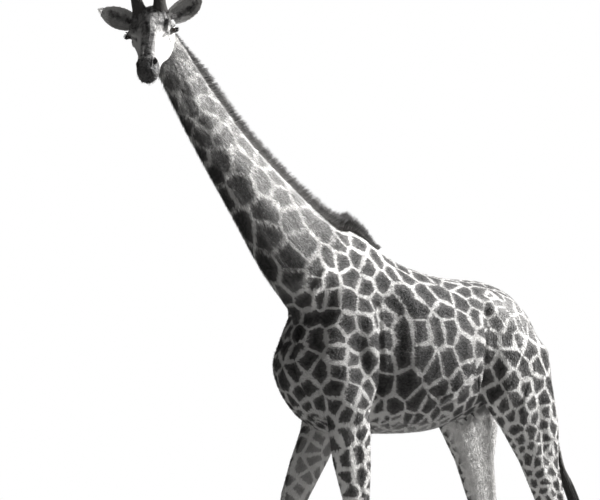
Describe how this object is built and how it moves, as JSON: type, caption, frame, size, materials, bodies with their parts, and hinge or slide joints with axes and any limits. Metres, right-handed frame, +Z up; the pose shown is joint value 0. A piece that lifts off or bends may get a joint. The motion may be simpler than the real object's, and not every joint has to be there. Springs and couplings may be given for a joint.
{
  "type": "giraffe",
  "caption": "Life-size standing giraffe in mid stride, its head turned to look over its left shoulder, with patched coat, short mane and tufted tail.",
  "frame": {"origin": "centre of the bounding box's floor face, on the floor under the animal", "axes": "+Z up, the animal faces -Y and its left side is +X"},
  "size_m": [0.742, 3.0814, 4.0136],
  "materials": {
    "coat": "short flat hair, dark patches parted by pale lines",
    "hair": "coarse upright mane and tail hair",
    "horn": "short hair over bone",
    "hoof": "worn horn",
    "eye": "wet, glossy"
  },
  "bodies": {
    "root": {"trunk": "coat", "neck": "coat", "head": "coat", "tail": "coat", "leg_fore_left": "coat", "leg_fore_right": "coat", "leg_hind_left": "coat", "leg_hind_right": "coat", "ear_left": "coat", "ear_right": "coat", "mane": "hair", "tail_tuft": "hair", "horn_left": "horn", "horn_right": "horn", "eye_left": "eye", "eye_right": "eye", "hoof_fore_left_a": "hoof", "hoof_fore_left_b": "hoof", "hoof_fore_right_a": "hoof", "hoof_fore_right_b": "hoof", "hoof_hind_left_a": "hoof", "hoof_hind_left_b": "hoof", "hoof_hind_right_a": "hoof", "hoof_hind_right_b": "hoof"}
  },
  "joints": []
}
